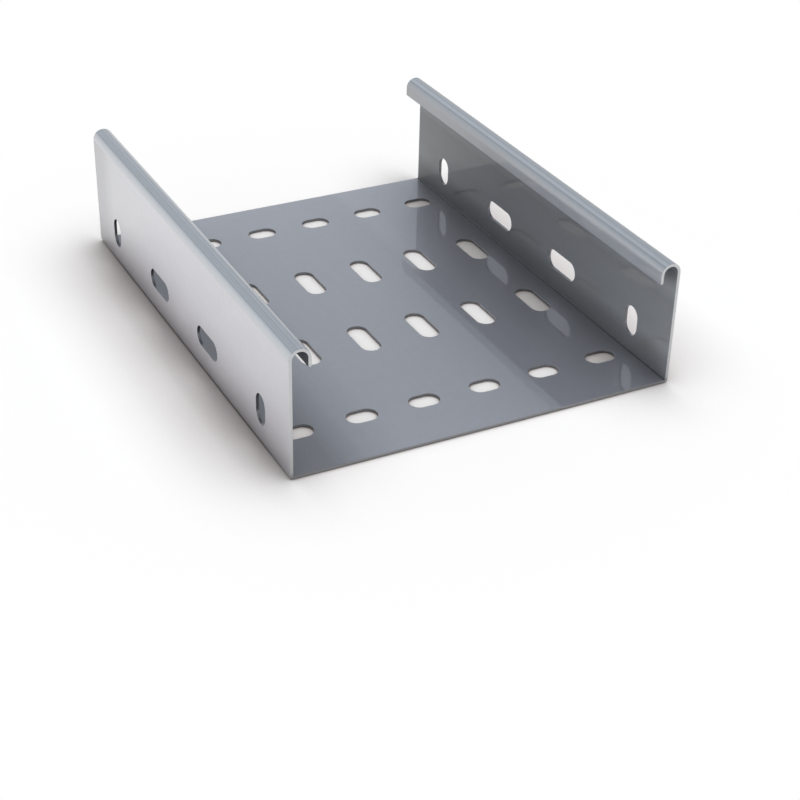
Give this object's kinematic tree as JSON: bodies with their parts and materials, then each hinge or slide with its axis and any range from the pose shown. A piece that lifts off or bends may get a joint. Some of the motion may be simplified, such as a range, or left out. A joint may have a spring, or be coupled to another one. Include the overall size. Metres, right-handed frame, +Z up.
{
  "type": "perforated cable tray section",
  "caption": "Short straight section of perforated cable tray: a slotted flat floor, two slotted upright walls and rolled return edges, open at the top and at both ends.",
  "frame": {"origin": "middle of the tray, on the underside of its floor", "axes": "+Z up, out of the open side; +Y along the tray's length; +X across it"},
  "size_m": [0.1524, 0.199, 0.05],
  "materials": {
    "galvanised_steel": "bare galvanised sheet, satin, with faint lengthwise rolling streaks and bright cut edges"
  },
  "bodies": {
    "root": {"cable_tray": "galvanised_steel"}
  },
  "joints": []
}
